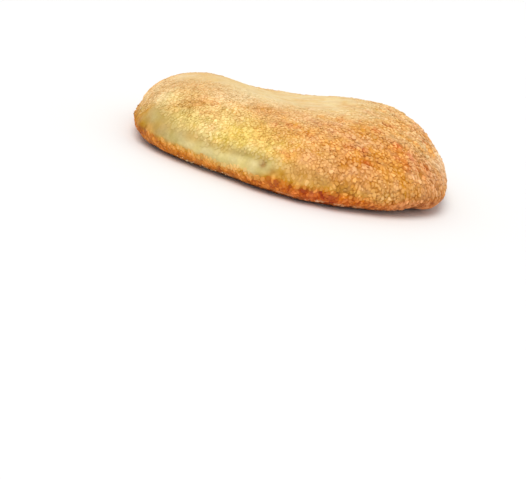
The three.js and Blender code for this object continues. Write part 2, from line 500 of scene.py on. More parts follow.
# Patches of the bake: centre x, y, z, radius along x and across it, colour, strength
PATCHES = [
    (-46, -8, 28, 26, 22, PEACH, 0.6),        # left lobe
    (-46, -36, 25, 24, 14, PEACH, 0.75),
    (-59, -28, 21, 6, 8, CREAM, 0.8),
    (-46, -36, 25, 7, 5, AMBER, 0.65),        # its browner spots
    (-52, -37, 22.5, 3.5, 3, AMBER, 0.3),
    (-29, -43, 25, 4, 6, AMBER, 0.4),
    (-23, -16, 30, 10, 14, CREAM, 0.75),      # pale saddle
    (9, -8, 30, 15, 9, CREAM, 0.6),
    (44, 8, 33, 26, 22, PEACH, 0.7),          # right lobe
    (46, -28, 28, 26, 14, AMBER, 0.6),
    (34, -6, 33, 12, 10, AMBER, 0.2),
    (42, -52, 20, 26, 14, AMBER, 0.75),
    (20, -54, 24, 18, 14, AMBER, 0.6),
    (12, -63, 20, 11, 7, AMBER, 0.7),
    (-12, -38, 28, 8, 9, AMBER, 0.85),        # browned spots in the middle
    (-3, -52, 25, 8, 7, AMBER, 0.6),
    (2, -44, 27, 9, 8, AMBER, 0.55),
    (14, -44, 28, 8, 7, AMBER, 0.6),
    (-46, -46, 19, 18, 9, LEMON, 0.85),       # yellow front
    (-34, -52, 20, 16, 9, LEMON, 0.85),
    (-20, -59, 18, 16, 9, BUTTER, 0.95),
    (-8, -62, 19, 11, 8, BUTTER, 0.9),
    (19, -44, 27, 6, 5, BUTTER, 0.5),
    (19, -62, 20, 6, 5, BUTTER, 0.5),
    (31, -51, 24, 7, 8, RUSSET, 0.6),
    (31, -43, 27, 6, 5, ROSE, 0.6),
    (49, -36, 26, 8, 6, RUSSET, 0.75),
    (54, -37, 23, 7, 6, RUSSET, 0.6),
    (47, -46, 22, 8, 7, AMBER, 0.85),
    (53, -46, 19, 12, 9, AMBER, 0.7),
    (69, -18, 18, 7, 24, ROSE, 0.95),         # right end
    (64, 4, 26, 9, 22, ROSE, 0.8),
    (62, -38, 14, 12, 8, UMBER, 0.7),
    (-66, -29.5, 15, 3.4, 4, OCHRE, 0.9),     # left end
    (-4, -70.5, 10.6, 4, 3, RIM, 0.7),
    (-58, 2, 27, 14, 14, CREAM, 0.25),        # paler and browner places
    (-68, -21, 17, 5, 6, OLIVE, 0.55),
    (-35, -30, 28, 8, 8, CREAM, 0.3),
    (-43, -39, 24, 14, 7, AMBER, 0.15),
    (-20, -25, 29.5, 12, 10, CREAM, 0.6),
    (0, -46, 27, 10, 7, PEACH, 0.6),
    (9, -40, 28, 9, 8, PEACH, 0.5),
    (-16, -53, 22.5, 9, 6, AMBER, 0.2),
    (-6, -53, 24, 8, 5, AMBER, 0.25),
    (46, -28, 29, 14, 12, PEACH, 0.6),
    (66, -12, 22, 6, 14, CREAM, 0.6),
    (20, -42, 28, 8, 6, GOLD, 0.3),
    (20, -2, 31.5, 13, 9, AMBER, 0.3),
    (25, -36, 29, 10, 8, AMBER, 0.25),
    (-55, -32, 22.5, 6, 6, LEMON, 0.6),
    (22, -58, 21, 6, 5, PEACH, 0.4),
    (-61, -12, 25, 6, 9, AMBER, 0.25),
    (-42, -20, 29.6, 8, 7, AMBER, 0.4),
    (-13, -64, 16.5, 7, 4, CREAM, 0.3),
    (-5, -55, 24, 7, 6, AMBER, 0.35),
    (-25, -57, 19, 7, 6, BUTTER, 0.4),
    (-35, -55, 16.5, 7, 5, CREAM, 0.3),
    (-8, -32, 29, 9, 8, AMBER, 0.6),
    (27, -58, 21, 7, 5, RUSSET, 0.6),
    (26, -49, 25, 6, 5, CREAM, 0.5),
    (17, -63, 19, 8, 6, PEACH, 0.7),
    (60, -18, 25, 6, 8, CREAM, 0.25),
    (61, -38, 19, 4, 6, ROSE, 0.35),
    (-61, -30, 21, 5, 6, CREAM, 0.3),
    (50, -43, 22.5, 7, 6, RUSSET, 0.45),
    (16, -37, 29, 7, 6, AMBER, 0.6),
    (15, -46, 27, 8, 7, GOLD, 0.75),
    (6, -66, 18.5, 7, 5, GOLD, 0.5),
    (35, -34, 29.4, 7, 6, GOLD, 0.45),
    (48, -47, 22, 7, 7, GOLD, 0.5),
    (28, -46, 26.3, 2.4, 2.2, ROSE, 0.5),
    (44, -41, 24.8, 3, 2.6, RIM, 0.5),
    (37, -30, 30, 3, 2.6, RUSSET, 0.5),
    (18, -42, 28, 3.4, 3, GOLD, 0.6),
    (8, -50, 25.6, 3, 2.6, RUSSET, 0.4),
    (-46.5, -37, 24.8, 3.6, 2.8, RUSSET, 0.2),
    (3, -37, 28.5, 7, 6, PEACH, 0.3),
    (15, -46.5, 27, 9, 8, AMBER, 0.4),
    (27, -59, 21, 8, 5, RUSSET, 0.4),
    (22, -66, 14, 9, 7, RUSSET, 0.45),
    (50, -47, 20, 10, 8, AMBER, 0.55),
    (7, -66, 18, 7, 6, AMBER, 0.4),
    (24, -63, 17, 12, 7, RUSSET, 0.35),
    (33, -58, 21, 10, 8, GOLD, 0.55),
    (50, -46, 21, 10, 8, GOLD, 0.5),
    (-61, -5, 25, 8, 8, CREAM, 0.6),
    (-68, -14, 19, 6, 7, CREAM, 0.45),
    (-54.5, -38, 21.5, 6, 5, CREAM, 0.3),
    (-36, -26, 29.4, 7, 6, AMBER, 0.2),
    (-10, -59, 21, 6, 5, AMBER, 0.2),
    (9, -44, 27.7, 7, 6, CREAM, 0.25),
    (21, -54, 24, 6, 5, GOLD, 0.25),
    (-28, -21, 30, 6, 5, AMBER, 0.2),
    (-12, -33, 29, 6, 5, AMBER, 0.25),
    (-30, -53, 19, 6, 5, CREAM, 0.2),
    (31, -51, 24, 6, 5, PEACH, 0.12),
    (23, -68, 15.6, 6, 5, CREAM, 0.12),
    (-40, 45, 22, 24, 14, PEACH, 0.6),        # back
    (6, 60, 16, 22, 9, LEMON, 0.7),
    (40, 44, 26, 15, 12, AMBER, 0.6),
    (58, 26, 24, 9, 9, RUSSET, 0.35),
    (-6, 48, 23, 14, 8, AMBER, 0.5),
    (-52, 30, 22, 9, 8, AMBER, 0.4),
]


# Small toasted spots on the right lobe: centre x, y, z, radius, strength
TOASTED_SPOTS = [
    (31, -49, 25, 1.3, 0.7),
    (31.6, -52.4, 23.6, 1.0, 0.45),
    (32.9, -56.8, 21.2, 1.5, 0.6),
    (45.7, -35.5, 27, 1.4, 0.8),
    (52.9, -38, 23.6, 1.3, 0.6),
    (50.6, -37.8, 24.7, 1.2, 0.5),
    (46.5, -44, 23.6, 1.4, 0.5),
    (49.8, -43.7, 22.5, 1.3, 0.4),
    (35.6, -29.6, 30.3, 1.5, 0.4),
    (19.5, -27, 30.5, 1.5, 0.3),
    (60.8, -35.1, 20.3, 1.6, 0.45),
]

# Small places on the smooth side: centre x, y, z, radius, colour, strength
SIDE_SPOTS = [
    # painted shade: the pit is painted dark in its hollow
    (-9.0, -68.5, 12.6, 1.0, PIT_SHADE, 0.9),      # the pit on the front
    (-65.3, -31.6, 16.2, 2.6, OCHRE, 0.85),
    (-60.5, -40.5, 15.2, 4.2, MOSS, 0.6),
    (-66.5, -35.5, 9.6, 2.6, STRAW, 0.35),
]

# Lighter and darker places, partly of the bake and partly painted light and shade: centre x, y, z, radius, share of
# the range
SHADES = [
    (-48, -48, 18.5, 7, -0.06),
    (-14, -63, 18, 6, 0.045),
    (-47, -42, 22.5, 7, -0.02),
    (-66, -33, 12, 6, -0.03),
    (-35, -59, 11.5, 4, -0.03),
    (-50, -9, 28, 8, -0.015),
    (-64, -15, 22.5, 6, -0.05),
    (-68, -14, 18.5, 4, 0.025),
    (-60, 3, 27, 8, 0.025),
    (-61, -30, 21, 5, 0.025),
    (-16, -56, 21.5, 10, -0.03),
    (-18, -37, 28, 6, -0.02),
    (47, -24, 30, 6, 0.03),
    (38, -57, 19, 6, -0.025),
    (59, -30, 23, 6, -0.035),
    (46, 8, 33, 7, 0.03),
    (-12, -68, 10, 5, -0.03),
    (-57, -27, 24.5, 5, -0.045),
    (-18, -59.5, 19, 5, -0.035),
    (22, -60, 20, 6, -0.02),
    (58, -46, 3, 7, -0.03),
]


def mix(tone, colour, weight):
    return tone + (colour - tone) * weight[:, None]


def lighten(tone, amount):
    """Lighter or darker by that share of the screen's range, alike in red, green and blue."""
    seen = np.maximum(tone, 0) ** (1 / 2.2) + amount[:, None]
    return np.clip(seen, 0.03, None) ** 2.2


def tone_of(p, s, angle):
    """The crust's colour at each point, without the variation from grain to grain, with painted shade in the creases
    and cracks.
    """
    z = zones(p, s, angle)
    turn = np.degrees(angle) % 360
    flat = np.zeros_like(s)
    tone = np.repeat(HONEY[None], len(p), 0)
    warp = np.stack([noise(p, 9.0, 53), noise(p, 9.0, 55), noise(p, 9.0, 57)], 1) * 3.0
    warp += np.stack([noise(p, 3.0, 59), noise(p, 3.0, 61), noise(p, 3.0, 63)], 1) * 1.2
    q = p + warp
    for x, y, height, rx, ry, colour, strength in PATCHES:
        d2 = ((q[:, 0] - x) / rx) ** 2 + ((q[:, 1] - y) / ry) ** 2
        d2 += ((q[:, 2] - height) / min(rx, ry)) ** 2
        tone = mix(tone, colour, strength * np.exp(-0.7 * d2))
    dusting = np.clip(0.85 + 0.3 * noise(p, 7.0, 72) + 0.25 * noise(p, 3.2, 74), 0, 1)
    tone = mix(tone, CHALK, z["far"] * dusting)
    # the bake runs unevenly: warmer and yellower patches a few millimetres wide
    calm = 1 - 0.7 * np.clip(z["pale"] + z["far"] + z["olive"] + 0.5 * z["lobe"], 0, 1)
    calm = calm * (1 - 0.6 * ramp(-p[:, 0], -6, 18))
    uneven = 0.6 * noise(p, 9.0, 51) + 0.62 * noise(p, 4.8, 52) + 0.3 * noise(p, 2.5, 54)
    tone = mix(tone, GOLD, 0.9 * calm * np.clip(uneven, 0, 1))
    tone = mix(tone, BLUSH, 0.9 * calm * np.clip(-uneven, 0, 1))
    spots = ramp(noise(p, 6.5, 56) + 0.5 * noise(p, 2.8, 58), 0.45, 1.0)
    tone = mix(tone, RUSSET, 0.6 * spots * calm)
    for x, y, height, radius, strength in TOASTED_SPOTS:
        away = np.linalg.norm(p + 0.25 * warp - np.array([x, y, height]), axis=1)
        tone = mix(tone, RUST, strength * bell(away, radius))
    # the pale side: streaked along the loaf, combed up and down where the grains begin
    front = ramp(-np.sin(angle), -0.2, 0.3)
    side = z["pale"] * (1 - z["olive"])
    straw = STRAW + (WHEAT - STRAW) * (1 - front)[:, None]
    tone = tone + (straw - tone) * (0.92 * side)[:, None]
    moss = side * front * ramp(noise(p, 8.0, 71), -0.3, 0.6)
    tone = mix(tone, MOSS, 0.5 * moss)
    tone = mix(tone, CREAM, 0.22 * side * ramp(noise(p, 6.0, 73), 0.1, 0.7))
    tone = mix(tone, OCHRE, 0.22 * side * ramp(noise(p, 7.0, 75), 0.2, 0.8))
    smear = noise(np.stack([np.degrees(angle) * 0.55, s * 26.0, flat], 1), 3.0, 23)
    comb = noise(np.stack([np.degrees(angle) * 1.25, s * 3.0, flat], 1), 1.3, 25)
    tone = mix(tone, OLIVE, 0.95 * z["olive"])
    tone = lighten(tone, (z["pale"] + z["olive"]) * (0.022 * smear + 0.02 * comb))
    wander = s + 0.03 * noise(p, 14.0, 77)
    low = 0.06 * bell(wander - 0.08, 0.04) * ramp(turn, 226, 240) * ramp(turn, 268, 258)
    low -= 0.04 * bell(wander - 0.08, 0.05) * ramp(turn, 232, 220) * ramp(turn, 204, 214)
    high = bell(wander - 0.17, 0.04) * ramp(turn, 214, 224) * ramp(turn, 268, 260)
    low -= 0.025 * high * (1 + ramp(turn, 234, 246))
    tone = lighten(mix(tone, UMBER, 0.11 * high), low)
    tone = mix(tone, TAN, 0.8 * z["tan"])
    for x, y, height, radius, colour, strength in SIDE_SPOTS:
        away = np.linalg.norm(p + 0.1 * radius * warp - np.array([x, y, height]), axis=1)
        tone = mix(tone, colour, strength * bell(away, radius))
    # the browned rim, darkened low on the right front and along the bottom edge partly by painted shade
    dull = ramp(turn, 296, 322) * ramp(360 - turn, 0, 20)
    dull = (dull + 0.55 * bell(turn - 206, 9) * ramp(s, -0.25, -0.5))[:, None]
    ochre = OCHRE + (UMBER - OCHRE) * 0.8 * dull
    rim = RIM + (UMBER - RIM) * dull
    tone = tone + (ochre - tone) * (0.85 * np.clip(z["ochre"] + 0.8 * z["lip"], 0, 1))[:, None]
    tone = tone + (rim - tone) * (0.92 * z["rim"])[:, None]
    tone = mix(tone, RUST, 0.75 * z["deep"])
    tone = mix(tone, BURNT_AND_SHADE, 0.75 * z["burnt"] + 0.3 * z["lip"])
    tone = mix(tone, BASE, z["base"])
    # pale specks along the lower edge
    low = bell(degrees_from(angle, 286), 14) + 0.8 * bell(degrees_from(angle, 239), 9)
    low = low * bell(s + 0.62, 0.05) * ramp(noise(p, 1.7, 98), -0.3, 0.3)
    tone = mix(tone, CREAM, 0.6 * low)
    spots = noise(p, 8.0, 64) + 0.7 * noise(p, 3.6, 65)
    tone = mix(tone, BURNT_AND_SHADE, 0.5 * z["base"] * ramp(spots, 0.15, 0.9))
    tone = mix(tone, HONEY, 0.45 * z["base"] * ramp(-spots, 0.2, 1.0))
    # light and dark from clump to clump, painted shade in the creases between clumps and in the cracks, and lighter
    # and darker places
    rough = (1 - smoothness(z)) * (1 - z["base"])
    narrow, wide = creases(p)
    light = (0.012 + 0.025 * rough) * (noise(p, 3.0, 67) + 0.7 * noise(p, 1.7, 68))
    # painted shade in the narrow and wide creases between the clumps
    light += rough * (1 - 0.3 * gentle(p)) * (0.03 - 0.05 * narrow - 0.1 * wide)
    lines = noise(np.stack([p[:, 0], s * 14.0, flat], 1), 1.2, 95)
    light += 0.035 * gentle(p) * rough * lines
    for x, y, height, radius, amount in SHADES:
        light += amount * bell(np.linalg.norm(p - np.array([x, y, height]), axis=1), radius)
    edge = np.clip(z["rim"] + 0.5 * z["ochre"], 0, 1) * (1 - z["base"])
    streak = noise(np.stack([np.degrees(angle) * 1.25, s * 3.0, flat], 1), 1.6, 69)
    light += edge * (1 - 0.6 * z["fine_rim"]) * (0.11 * streak + 0.1 * noise(p, 2.2, 70))
    light += edge * (0.03 * noise(p, 2.2, 70) + 0.1 * noise(p, 1.2, 79))
    light += 0.075 * ramp(s, 0.2, -0.02) * ramp(s, -0.46, -0.16) * bell(degrees_from(angle, 252), 12)
    light -= 0.05 * ramp(s, -0.16, -0.34) * bell(degrees_from(angle, 242), 8)
    light += 0.03 * bell(s + 0.04, 0.07) * bell(degrees_from(angle, 281), 4)
    light -= 0.05 * bell(s - 0.14, 0.06) * bell(degrees_from(angle, 280), 6)
    light -= 0.06 * bell(s + 0.03, 0.14) * bell(degrees_from(angle, 291), 6)
    light += 0.03 * bell(s + 0.3, 0.1) * bell(degrees_from(angle, 226), 6)
    light -= 0.055 * bell(s - 0.18, 0.05) * bell(degrees_from(angle, 257), 7)
    light -= 0.08 * ramp(s, 0.2, 0.0) * bell(degrees_from(angle, 206), 11)
    light -= 0.03 * bell(s - 0.12, 0.06) * bell(degrees_from(angle, 240), 8)
    light -= 0.04 * ramp(s, 0.1, 0.0) * bell(degrees_from(angle, 268), 6)
    light += 0.06 * bell(s + 0.04, 0.09) * bell(degrees_from(angle, 277), 4)
    light -= 0.07 * bell(s + 0.12, 0.08) * bell(degrees_from(angle, 268), 5)
    light -= 0.035 * bell(s + 0.3, 0.08) * bell(degrees_from(angle, 277), 5)
    light += 0.03 * bell(s + 0.3, 0.1) * bell(degrees_from(angle, 304), 5)
    light -= 0.12 * bell(s - 0.07, 0.03) * bell(degrees_from(angle, 265.6), 3)
    light += 0.06 * ramp(s, -0.15, -0.35) * bell(degrees_from(angle, 267), 6)
    light -= 0.02 * ramp(s, -0.1, -0.3) * bell(degrees_from(angle, 279), 5)
    light += 0.06 * bell(s + 0.14, 0.12) * bell(degrees_from(angle, 302), 7)
    light -= 0.05 * bell(s - 0.09, 0.035) * bell(degrees_from(angle, 304), 8)
    light -= 0.035 * bell(s - 0.02, 0.05) * bell(degrees_from(angle, 320), 12)
    light += 0.035 * ramp(s, -0.2, -0.32) * bell(degrees_from(angle, 334), 7)
    light -= 0.04 * bell(s + 0.25, 0.15) * bell(degrees_from(angle, 272), 4)
    light += 0.025 * bell(s + 0.3, 0.15) * bell(degrees_from(angle, 281), 3)
    # the cracks are painted darker, as painted shade in them
    return lighten(tone, light - 0.36 * bell(crack_distance(p), 0.5))


# ----------------------------------------------------------------------- materials
def new_material(name):
    m = bpy.data.materials.new(name)
    m.use_nodes = True
    m.node_tree.nodes.clear()
    return m, m.node_tree.nodes, m.node_tree.links


def crust_material():
    """Baked skin: the tone of the bake, broken up by fine mottling, with grain-sized relief."""
    m, n, l = new_material("crust_skin")
    out = n.new("ShaderNodeOutputMaterial")
    bsdf = n.new("ShaderNodeBsdfPrincipled")
    l.new(bsdf.outputs[0], out.inputs[0])
    tone = n.new("ShaderNodeAttribute")
    tone.attribute_name = "tone"
    where = n.new("ShaderNodeTexCoord")
    fine = n.new("ShaderNodeTexNoise")
    fine.inputs["Scale"].default_value = 900
    fine.inputs["Detail"].default_value = 3
    cells = n.new("ShaderNodeTexVoronoi")
    cells.inputs["Scale"].default_value = 1050
    broad = n.new("ShaderNodeTexNoise")
    broad.inputs["Scale"].default_value = 160
    broad.inputs["Detail"].default_value = 4
    for t in (fine, cells, broad):
        l.new(where.outputs["Object"], t.inputs["Vector"])
    dark = n.new("ShaderNodeMix")
    dark.data_type = "RGBA"
    dark.blend_type = "MULTIPLY"
    dark.inputs[0].default_value = 1.0
    shade = n.new("ShaderNodeValToRGB")
    shade.color_ramp.elements[0].position = 0.3
    shade.color_ramp.elements[0].color = (0.92, 0.895, 0.86, 1)
    shade.color_ramp.elements[1].position = 0.7
    shade.color_ramp.elements[1].color = (1.03, 1.025, 1.015, 1)
    l.new(fine.outputs["Fac"], shade.inputs[0])
    l.new(tone.outputs["Color"], dark.inputs[6])
    l.new(shade.outputs[0], dark.inputs[7])
    warm = n.new("ShaderNodeHueSaturation")
    span = n.new("ShaderNodeMapRange")
    span.inputs[1].default_value = 0.3
    span.inputs[2].default_value = 0.7
    span.inputs[3].default_value = 0.93
    span.inputs[4].default_value = 1.07
    l.new(broad.outputs["Fac"], span.inputs[0])
    l.new(span.outputs[0], warm.inputs["Saturation"])
    l.new(dark.outputs[2], warm.inputs["Color"])
    l.new(warm.outputs[0], bsdf.inputs["Base Color"])
    rough = n.new("ShaderNodeMapRange")
    rough.inputs[3].default_value = 0.62
    rough.inputs[4].default_value = 0.86
    l.new(broad.outputs["Fac"], rough.inputs[0])
    l.new(rough.outputs[0], bsdf.inputs["Roughness"])
    bsdf.inputs["Specular IOR Level"].default_value = 0.25
    high = n.new("ShaderNodeMath")
    high.operation = "SUBTRACT"
    l.new(fine.outputs["Fac"], high.inputs[0])
    l.new(cells.outputs["Distance"], high.inputs[1])
    bump = n.new("ShaderNodeBump")
    bump.inputs["Strength"].default_value = 0.35
    bump.inputs["Distance"].default_value = 0.0002
    l.new(high.outputs[0], bump.inputs["Height"])
    l.new(bump.outputs[0], bsdf.inputs["Normal"])
    return m


def grain_material(name, roughness, scale):
    """A grain of semolina: its own tone, faintly streaked, a little glassy where it is pale."""
    m, n, l = new_material(name)
    out = n.new("ShaderNodeOutputMaterial")
    bsdf = n.new("ShaderNodeBsdfPrincipled")
    l.new(bsdf.outputs[0], out.inputs[0])
    tone = n.new("ShaderNodeAttribute")
    tone.attribute_name = "tone"
    where = n.new("ShaderNodeTexCoord")
    fine = n.new("ShaderNodeTexNoise")
    fine.inputs["Scale"].default_value = scale
    fine.inputs["Detail"].default_value = 2
    l.new(where.outputs["Object"], fine.inputs["Vector"])
    value = n.new("ShaderNodeMapRange")
    value.inputs[1].default_value = 0.25
    value.inputs[2].default_value = 0.75
    value.inputs[3].default_value = 0.95
    value.inputs[4].default_value = 1.04
    l.new(fine.outputs["Fac"], value.inputs[0])
    hue = n.new("ShaderNodeHueSaturation")
    l.new(tone.outputs["Color"], hue.inputs["Color"])
    l.new(value.outputs[0], hue.inputs["Value"])
    l.new(hue.outputs[0], bsdf.inputs["Base Color"])
    rough = n.new("ShaderNodeMapRange")
    rough.inputs[3].default_value = roughness - 0.1
    rough.inputs[4].default_value = roughness + 0.1
    l.new(fine.outputs["Fac"], rough.inputs[0])
    l.new(rough.outputs[0], bsdf.inputs["Roughness"])
    bsdf.inputs["Specular IOR Level"].default_value = 0.3
    return m


def make_piece(name, points_mm, faces, tone, material, smooth):
    mesh = bpy.data.meshes.new(name)
    mesh.vertices.add(len(points_mm))
    mesh.vertices.foreach_set("co", (points_mm * MM).astype(np.float32).ravel())
    mesh.loops.add(len(faces) * 3)
    mesh.loops.foreach_set("vertex_index", faces.astype(np.int32).ravel())
    mesh.polygons.add(len(faces))
    mesh.polygons.foreach_set("loop_start", np.arange(0, len(faces) * 3, 3, dtype=np.int32))
    mesh.polygons.foreach_set("loop_total", np.full(len(faces), 3, np.int32))
    mesh.polygons.foreach_set("use_smooth", np.full(len(faces), smooth, bool))
    mesh.update(calc_edges=True)
    colours = np.ones((len(points_mm), 4), np.float32)
    colours[:, :3] = np.clip(tone, 0, 1)
    mesh.attributes.new("tone", "FLOAT_COLOR", "POINT").data.foreach_set(
        "color", colours.ravel()
    )
    mesh.materials.append(material)
    piece = bpy.data.objects.new(name, mesh)
    bpy.context.scene.collection.objects.link(piece)
    return piece


# where the crust is coarse, grains stand bright over dough painted darker, as painted shade in the gaps
# between them; where it is smooth, both are of one plain tone
SMOOTH = 0.8
GRAIN = 0.965
# painted shade between the grains: the dough there is made darker
GAP_SHADE = 0.07                # how much darker the dough between the grains is
skin_soft = smoothness(zones(skin_p, grid_s, grid_a))
skin_gap_shade = GAP_SHADE * (1 - skin_soft) * (1 - 0.3 * gentle(skin_p))
skin_tone = lighten(tone_of(skin_p, grid_s, grid_a), -skin_gap_shade)
skin_tone *= (0.93 + (SMOOTH - 0.93) * skin_soft**0.8)[:, None]
body = make_piece("crust", skin_p, grid_faces, skin_tone, crust_material(), True)

# -------------------------------------------------------------------------- grains
rng = np.random.default_rng(20)


def drawn_out(p):
    """The same points in a space where the grains are as long as they are wide. They are
    narrower along the loaf than up its slopes, most of all on the left."""
    knots = np.linspace(-90, 90, 361)
    room = 1.04 + 0.3 * ramp(-knots, -25, 15)
    out = p * 0.87
    out[:, 0] = np.interp(p[:, 0], knots, np.cumsum(room) * (knots[1] - knots[0]))
    return out


def scatter(count, spacing, keep, taken=()):
    """Evenly scattered points on the skin, thinned by keep(...), at least spacing apart and
    clear of the points already taken by the distance given with them."""
    a, b, c = (skin_p[grid_faces[:, k]] for k in range(3))
    area = np.linalg.norm(np.cross(b - a, c - a), axis=1) / 2
    share = np.cumsum(area)
    tri = np.searchsorted(share, rng.random(count) * share[-1])
    tri = np.minimum(tri, len(area) - 1)
    u, v = rng.random((2, count))
    flip = u + v > 1
    u, v = np.where(flip, 1 - u, u), np.where(flip, 1 - v, v)
    w = np.stack([1 - u - v, u, v], 1)

    def blend(values):
        picked = values[grid_faces[tri]]
        return (picked * (w[..., None] if values.ndim > 1 else w)).sum(1)

    p, nrm, s = blend(skin_p), blend(normals), blend(grid_s)
    nrm /= np.linalg.norm(nrm, axis=1)[:, None]
    angle = np.arctan2(p[:, 1] + BOX_CENTRE[1], p[:, 0] + BOX_CENTRE[0]) % (2 * np.pi)
    alive = rng.random(count) < keep(p, s, angle)
    index = np.where(alive)[0]
    for others, distance in taken:
        tree = KDTree(len(others))
        for k, point in enumerate(others.tolist()):
            tree.insert(point, k)
        tree.balance()
        index = np.array([i for i in index.tolist() if tree.find(p[i])[2] > distance])
    cells, kept = {}, []
    room = drawn_out(p)
    key = np.floor(room / spacing).astype(int)
    near = [(i, j, k) for i in (-1, 0, 1) for j in (-1, 0, 1) for k in (-1, 0, 1)]
    limit = spacing * spacing
    points = room.tolist()
    for i in index.tolist():
        kx, ky, kz = key[i].tolist()
        x, y, z = points[i]
        clear = True
        for dx, dy, dz in near:
            for j in cells.get((kx + dx, ky + dy, kz + dz), ()):
                qx, qy, qz = points[j]
                if (x - qx) ** 2 + (y - qy) ** 2 + (z - qz) ** 2 < limit:
                    clear = False
                    break
            if not clear:
                break
        if clear:
            cells.setdefault((kx, ky, kz), []).append(i)
            kept.append(i)
    kept = np.array(kept)
    return p[kept], nrm[kept], s[kept], angle[kept]


def frame_of(nrm):
    """Directions in the skin at each point: level, and up the slope."""
    level = np.cross([0, 0, 1], nrm) + np.array([1e-4, 0, 0])
    level -= nrm * (level * nrm).sum(1)[:, None]
    level /= np.linalg.norm(level, axis=1)[:, None]
    return level, np.cross(nrm, level)


CORNERS = 7


def packed_grains(name, chosen, p, nrm, size, height, tone, material):
    """Flattish angular grains that crowd against their neighbours. The gap between two grains
    is wider or narrower from pair to pair, and some pairs are stuck together. Only the chosen
    ones are made; the others still take their room."""
    count, k = len(p), CORNERS
    tree = KDTree(count)
    for i, point in enumerate(p.tolist()):
        tree.insert(point, i)
    tree.balance()
    near = np.array([[n[1] for n in tree.find_n(point, 13)][1:] for point in p.tolist()])
    side, other = frame_of(nrm)
    offset = p[near] - p[:, None]
    u, v = (offset * side[:, None]).sum(-1), (offset * other[:, None]).sum(-1)
    away, bearing = np.hypot(u, v), np.arctan2(v, u)
    reach = away * size[:, None] / (size[:, None] + size[near])
    own = np.repeat(np.arange(count)[:, None], near.shape[1], 1)
    pair = np.stack([np.minimum(own, near), np.maximum(own, near), own * 0], -1)
    sloped = combed(p)[:, None]
    upright = np.abs((offset * other[:, None]).sum(-1)) / np.maximum(away, 1e-6)
    stick = 0.5 + 0.34 * sloped * (2 * upright - 1.2)
    stuck = lattice(pair, 91) < stick
    apart, close = lattice(pair, 92), gentle(p)[:, None]
    gap = (0.06 + 0.36 * apart**1.5) * (1 - close) + (0.02 + 0.3 * apart**2.2) * close
    reach = reach - np.where(stuck, -0.12, gap)
    draw = np.random.default_rng(7)
    turn = np.arange(k) / k * 2 * np.pi + draw.random((count, 1)) * 2 * np.pi
    turn = turn + draw.normal(0, 0.12, (count, k))
    facing = np.cos(turn[:, :, None] - bearing[:, None])
    reaches = np.where(facing > 0.1, reach[:, None] / np.maximum(facing, 0.1), 9.0)
    nearest = reaches.argmin(-1)
    radius = np.take_along_axis(reaches, nearest[..., None], -1)[..., 0]
    joined = np.take_along_axis(stuck, nearest, 1)[..., None]
    narrow = 1 - 0.15 * sloped + 0.45 * sloped * np.abs(np.sin(turn))
    radius = np.minimum(radius, (size / 2)[:, None] * narrow * draw.uniform(1.15, 1.6, (count, k)))
    radius = radius * draw.uniform(0.94, 1.02, (count, k))
    out = side[:, None] * np.cos(turn)[..., None] + other[:, None] * np.sin(turn)[..., None]
    up = nrm[:, None] * height[:, None, None]
    shoulder = np.where(joined, 0.98, draw.uniform(0.7, 0.9, (count, k, 1)))
    ring = p[:, None] + out * radius[..., None] * shoulder
    rise = draw.uniform(0.45, 0.8, (count, k, 1))
    ring = ring + up * np.where(joined, 0.3 + 0.8 * rise, rise)
    foot = p[:, None] + out * radius[..., None] - nrm[:, None] * 0.28
    top = p[:, None] + up * draw.uniform(0.9, 1.1, (count, 1, 1))
    top = top + (out * radius[..., None] * draw.uniform(-0.25, 0.25, (count, k, 1))).sum(1)[:, None]
    verts = np.concatenate([top, ring, foot], 1)
    verts[..., 2] = np.maximum(verts[..., 2], 0.01)
    faces = []
    for i in range(k):
        j = (i + 1) % k
        a, b, c, d = 1 + i, 1 + j, 1 + k + i, 1 + k + j
        faces += [[0, a, b], [a, c, d], [a, d, b]]
        if 0 < i < k - 1:
            faces.append([1 + k, d, c])
    verts = verts[chosen]
    faces = np.array(faces)[None] + (np.arange(len(verts)) * (2 * k + 1))[:, None, None]
    # painted shading on each grain: lightest at the top, darker at the shoulders, darkest at the foot, less so on
    # the left
    depth = np.r_[1.02, np.full(k, 0.98), np.full(k, 0.9)]
    depth = depth + draw.normal(0, 0.02, (count, 2 * k + 1))[chosen]
    depth = depth + (0.97 - depth) * 0.3 * gentle(p[chosen])[:, None]
    colours = tone[chosen][:, None] * depth[..., None]
    return make_piece(
        name, verts.reshape(-1, 3), faces.reshape(-1, 3), colours.reshape(-1, 3), material, False
    )


